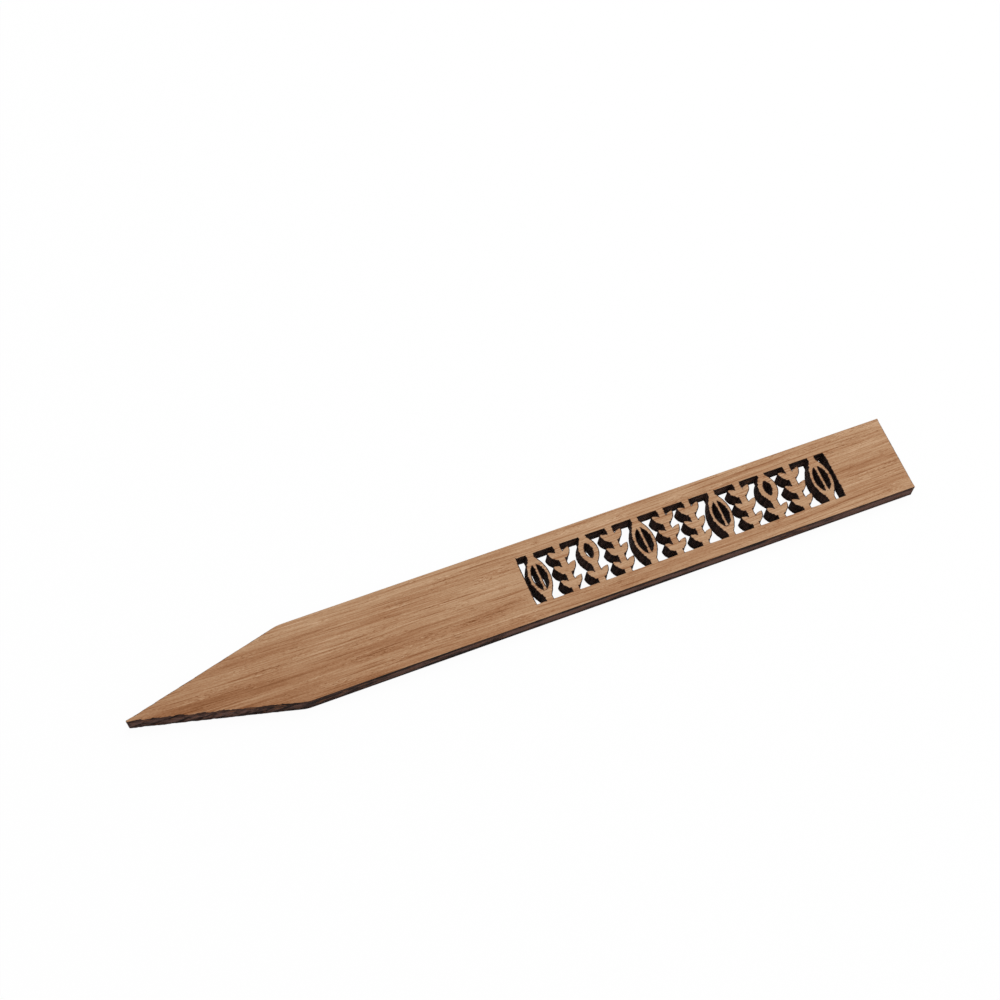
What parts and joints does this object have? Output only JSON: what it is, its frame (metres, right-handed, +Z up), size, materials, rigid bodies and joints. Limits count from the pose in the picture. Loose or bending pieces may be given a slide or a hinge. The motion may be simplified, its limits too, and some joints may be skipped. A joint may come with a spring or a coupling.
{
  "type": "plant label stake",
  "caption": "Flat pointed wooden stake with a pierced leaf fretwork window near its square end, laser cut from a layered sheet, for marking a plant in a pot or bed.",
  "frame": {"origin": "middle of the bounding box's bottom, on the back face that the stake lies on", "axes": "+X along the stake from the point to the square end, +Y across it, +Z up out of the front face"},
  "size_m": [0.1944, 0.02, 0.0042],
  "materials": {
    "face_veneer": "sanded, unoiled brown hardwood veneer, grain along the stake, edges charred by the laser",
    "core_veneer": "cross-banded core veneer whose showing edge is charred dark brown",
    "glue_film": "dark thermoset glue film, charred at the edge"
  },
  "bodies": {
    "root": {"back_face_ply": "face_veneer", "back_glue_line": "glue_film", "core_ply": "core_veneer", "front_glue_line": "glue_film", "front_face_ply": "face_veneer"}
  },
  "joints": []
}
